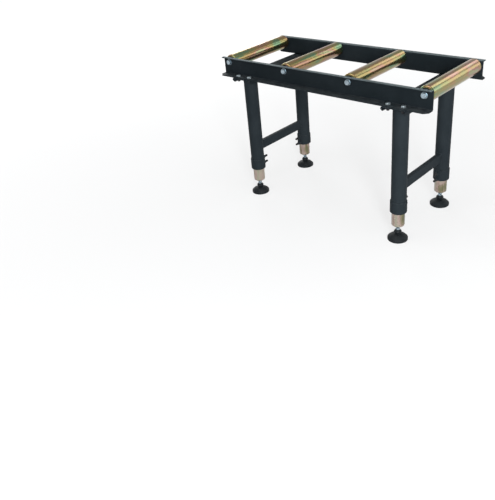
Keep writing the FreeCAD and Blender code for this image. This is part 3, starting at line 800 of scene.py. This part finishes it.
def makeLegWelds(corner):
    seam = weldSeam
    facing = 1 if corner.startswith("front") else -1
    legLow, legHigh = (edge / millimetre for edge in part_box(corner + "_leg_tube"))
    collarLow, collarHigh = (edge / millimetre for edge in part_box(corner + "_collar"))
    braceLow, braceHigh = (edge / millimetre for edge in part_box(corner.split("_")[1] + "_brace"))
    centre = (legLow + legHigh) / 2
    legRadius = (legHigh.x - legLow.x) / 2
    collarRadius = (collarHigh.x - collarLow.x) / 2
    upright = Vector((0, 0, 1))
    level = Vector((0, 1, 0))
    mesh = bmesh.new()
    bead = seam["channelBead"]
    onTop = Vector((centre.x, centre.y, legHigh.z - bead / 3))
    addBead(mesh, roundAxis(onTop, legRadius + bead / 3), bead, upright)
    bead = seam["collarBead"]
    onCollar = Vector((centre.x, centre.y, collarHigh.z))
    addBead(mesh, roundAxis(onCollar, legRadius + bead / 2), bead, upright)
    halfWidth = (braceHigh.x - braceLow.x) / 2
    cut = seam["braceCorner"]
    outline = [(halfWidth, braceLow.z + cut), (halfWidth, braceHigh.z - cut),
               (halfWidth - cut, braceHigh.z), (-halfWidth + cut, braceHigh.z),
               (-halfWidth, braceHigh.z - cut), (-halfWidth, braceLow.z + cut),
               (-halfWidth + cut, braceLow.z), (halfWidth - cut, braceLow.z)]
    bead = seam["braceBead"]
    seamRadius = legRadius + bead / 3
    flat, _ = evenPoints([Vector((x, z, 0)) for x, z in outline], seam["braceStep"])
    addBead(mesh, wrapOnTube([(p.x, p.y) for p in flat], centre, seamRadius, facing), bead, level)
    bead = seam["bossBead"]
    for height in levels:
        screw = middle("%s_%s_clamp_screw" % (corner, height)) / millimetre
        ring = roundAxis(Vector((0, 0, 0)), seam["bossRadius"] + bead / 3)
        foot = [(p.x, screw.z + p.y) for p in ring]
        addBead(mesh, wrapOnTube(foot, centre, collarRadius + bead / 4, facing), bead, level)
    finishPiece(mesh, corner + "_leg_welds", litTubePaint, "frame", crease=seam["crease"])


for corner in corners:
    makeLevellingStud(corner)
    for level in levels:
        makeClampScrew(corner, level)
    makeLegWelds(corner)
print("studs, clamp screws and weld seams made")


studio = {
    "floorColour": (0.47, 0.48, 0.49),
    "floorRoughness": 0.9,
    "floorSpecular": 0.1,
    "floorHalf": 30.0,
    "floorNear": (0.3, 0.50),  # metres from the middle, lift towards white
    "floorFar": (3.5, 1.0),
    "floorClear": 0.5,  # how far the camera sees through the floor, to a leg drawn out below it
    "worldLight": 0.07,
    "ceiling": 0.5,
    "ceilingFade": (0.12, 0.4),  # how steeply up a ray looks
}


def seenDirectly(tree):
    # rays that show the background itself: from the camera, in gloss and through glass
    path = addNode(tree, "LightPath").outputs
    direct = calc(tree, "MAXIMUM", path["Is Camera Ray"], path["Is Glossy Ray"])
    return calc(tree, "MAXIMUM", direct, path["Is Transmission Ray"])


def makeFloor():
    half = studio["floorHalf"]
    mesh = bpy.data.meshes.new("floor")
    outline = [(-half, -half, 0), (half, -half, 0), (half, half, 0), (-half, half, 0)]
    mesh.from_pydata(outline, [], [(0, 1, 2, 3)])
    floor = bpy.data.objects.new("floor", mesh)
    bpy.context.scene.collection.objects.link(floor)
    material, tree, shader, place = newMaterial("studioFloor")
    shader.inputs["Base Color"].default_value = (*studio["floorColour"], 1)
    shader.inputs["Roughness"].default_value = studio["floorRoughness"]
    shader.inputs["Specular IOR Level"].default_value = studio["floorSpecular"]
    shader.inputs["Emission Color"].default_value = (1, 1, 1, 1)
    away = addNode(tree, "VectorMath", {0: place}, operation="LENGTH").outputs["Value"]
    (near, nearLift), (far, farLift) = studio["floorNear"], studio["floorFar"]
    lift = calc(tree, "MULTIPLY", seenDirectly(tree), remap(tree, away, near, far, nearLift, farLift))
    feed(tree, shader.inputs["Emission Strength"], lift)
    seen = calc(tree, "MULTIPLY", addNode(tree, "LightPath").outputs["Is Camera Ray"], studio["floorClear"])
    clear = addNode(tree, "BsdfTransparent").outputs[0]
    surface = addNode(tree, "MixShader", {0: seen, 1: shader.outputs[0], 2: clear}).outputs[0]
    sink = next(node for node in tree.nodes if node.type == "OUTPUT_MATERIAL")
    feed(tree, sink.inputs["Surface"], surface)
    floor.data.materials.append(material)
    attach(floor, "front_right_foot")  # the floor stays under the feet when all legs are set alike


def makeWorld():
    # white all round, dimmer towards the ceiling where only gloss can show it
    world = bpy.data.worlds.new("studio")
    bpy.context.scene.world = world
    world.use_nodes = True
    tree = world.node_tree
    back = next(node for node in tree.nodes if node.type == "BACKGROUND")
    back.inputs["Color"].default_value = (1, 1, 1, 1)
    up = addNode(tree, "SeparateXYZ", {0: addNode(tree, "TexCoord").outputs["Generated"]}).outputs[2]
    shown = remap(tree, up, *studio["ceilingFade"], 1.0, studio["ceiling"])
    # sockets 2 and 3 are the mix node's plain numbers
    strength = addNode(tree, "Mix", {0: seenDirectly(tree), 2: studio["worldLight"], 3: shown}).outputs[0]
    feed(tree, back.inputs["Strength"], strength)


softboxes = {
    "overhead": {"place": (0.1, -0.55, 2.7), "aim": (0, -0.3, 0.5), "size": (2.4, 0.9), "watts": 25},
    "behindHigh": {"place": (0.8, 3.0, 2.45), "aim": (0.8, 0, 1.2), "size": (1.2, 0.7), "watts": 7.5},
    "behindLow": {"place": (2.2, 3.0, 1.6), "aim": (0.3, 0, 0.6), "size": (1.3, 1.2), "watts": 9.4},
    "key": {"place": (2.4, -2.3, 1.4), "aim": (0, 0, 0.35), "size": (0.5, 1.5), "watts": 92},
    "rear": {"place": (-3.0, 1.8, 1.7), "aim": (0, 0, 0.4), "size": (1.6, 1.2), "watts": 30},
}


def makeSoftbox(name, box):
    data = bpy.data.lights.new(name, "AREA")
    data.shape = "RECTANGLE"
    data.size, data.size_y = box["size"]
    data.energy = box["watts"]
    lamp = bpy.data.objects.new(name, data)
    lamp.location = box["place"]
    look = Vector(box["aim"]) - Vector(box["place"])
    lamp.rotation_euler = look.to_track_quat("-Z", "Y").to_euler()
    lamp.visible_camera = False
    bpy.context.scene.collection.objects.link(lamp)


makeFloor()
makeWorld()
for name, box in softboxes.items():
    makeSoftbox(name, box)
print("studio set")


camera = {
    "place": (1.419, -1.969, 1.323),
    "azimuth": 46.4,
    "elevation": 28.3,
    "roll": -6.2,
    "focalPixels": 598,
    "frameLongSide": 500,
    "sensor": 36.0,
    "shiftY": -0.10,
    "clip": (0.05, 100),
}


def makeCamera():
    data = bpy.data.cameras.new("camera")
    data.sensor_width = camera["sensor"]
    data.lens = camera["focalPixels"] * camera["sensor"] / camera["frameLongSide"]
    data.shift_y = camera["shiftY"]
    data.clip_start, data.clip_end = camera["clip"]
    made = bpy.data.objects.new("camera", data)
    azimuth, elevation, roll = (math.radians(camera[key]) for key in ("azimuth", "elevation", "roll"))
    forward = Vector((-math.sin(azimuth) * math.cos(elevation), math.cos(azimuth) * math.cos(elevation),
                      -math.sin(elevation)))
    right = Vector((math.cos(azimuth), math.sin(azimuth), 0))
    up = right.cross(forward)
    rolledRight = right * math.cos(roll) + up * math.sin(roll)
    rolledUp = up * math.cos(roll) - right * math.sin(roll)
    turn = Matrix((rolledRight, rolledUp, -forward)).transposed()
    made.matrix_world = Matrix.Translation(camera["place"]) @ turn.to_4x4()
    bpy.context.scene.collection.objects.link(made)
    bpy.context.scene.camera = made


makeCamera()
bpy.context.scene.view_settings.view_transform = "Standard"
print("camera placed")
